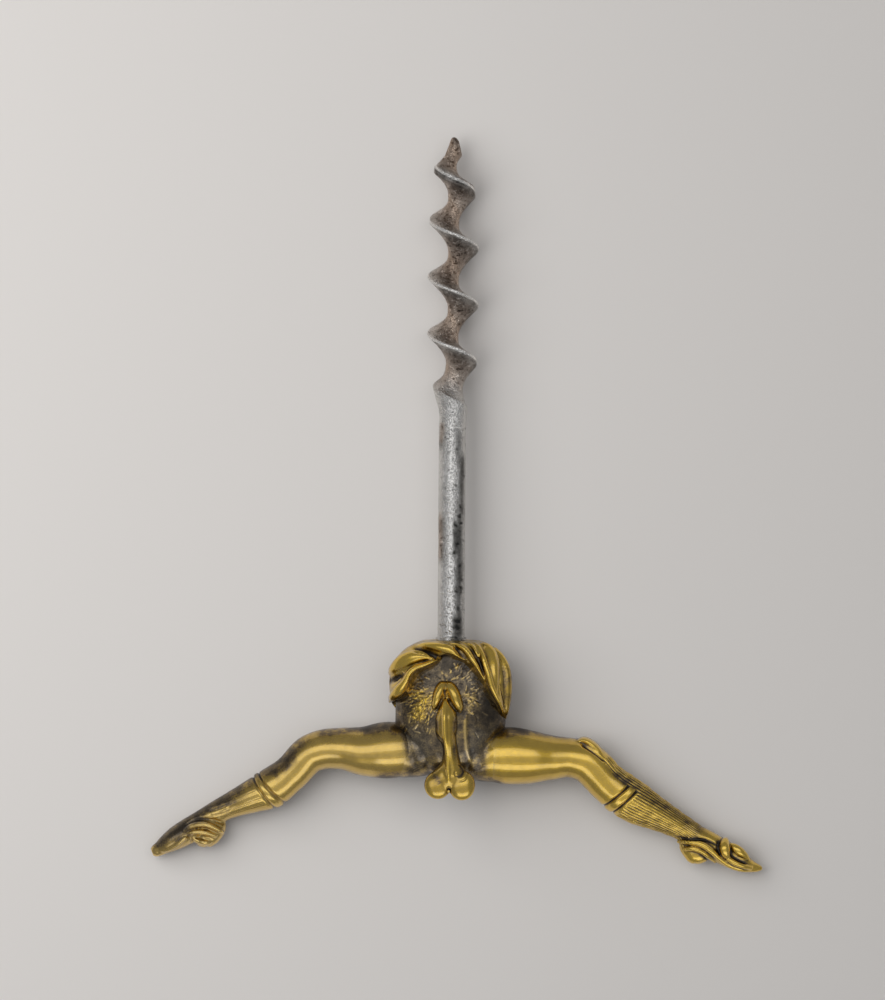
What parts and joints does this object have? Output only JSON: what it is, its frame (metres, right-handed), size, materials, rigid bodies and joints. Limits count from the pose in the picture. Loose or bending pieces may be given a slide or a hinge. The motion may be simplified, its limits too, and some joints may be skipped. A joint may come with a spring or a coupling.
{
  "type": "figural corkscrew",
  "caption": "Antique direct-pull corkscrew: a bladed steel worm and shank set in a cast brass bar handle shaped as the nude lower half of a figure in stockings and shoes.",
  "frame": {"origin": "on the screw axis, where the shank's shoulder sits on the handle", "axes": "+Y along the screw towards its point, +Z out of the figure's front, which lies upwards, +X to the right as seen from the front"},
  "size_m": [0.1126, 0.1358, 0.0168],
  "materials": {
    "forged_steel": "worn, pitted and stained",
    "cast_brass": "rubbed bright over a dark patina",
    "pin_brass": "filed flush"
  },
  "bodies": {
    "root": {"steel_screw": "forged_steel", "torso": "cast_brass", "shirt": "cast_brass", "front_relief": "cast_brass", "left_leg": "cast_brass", "right_leg": "cast_brass", "tang_pin": "pin_brass"}
  },
  "joints": []
}
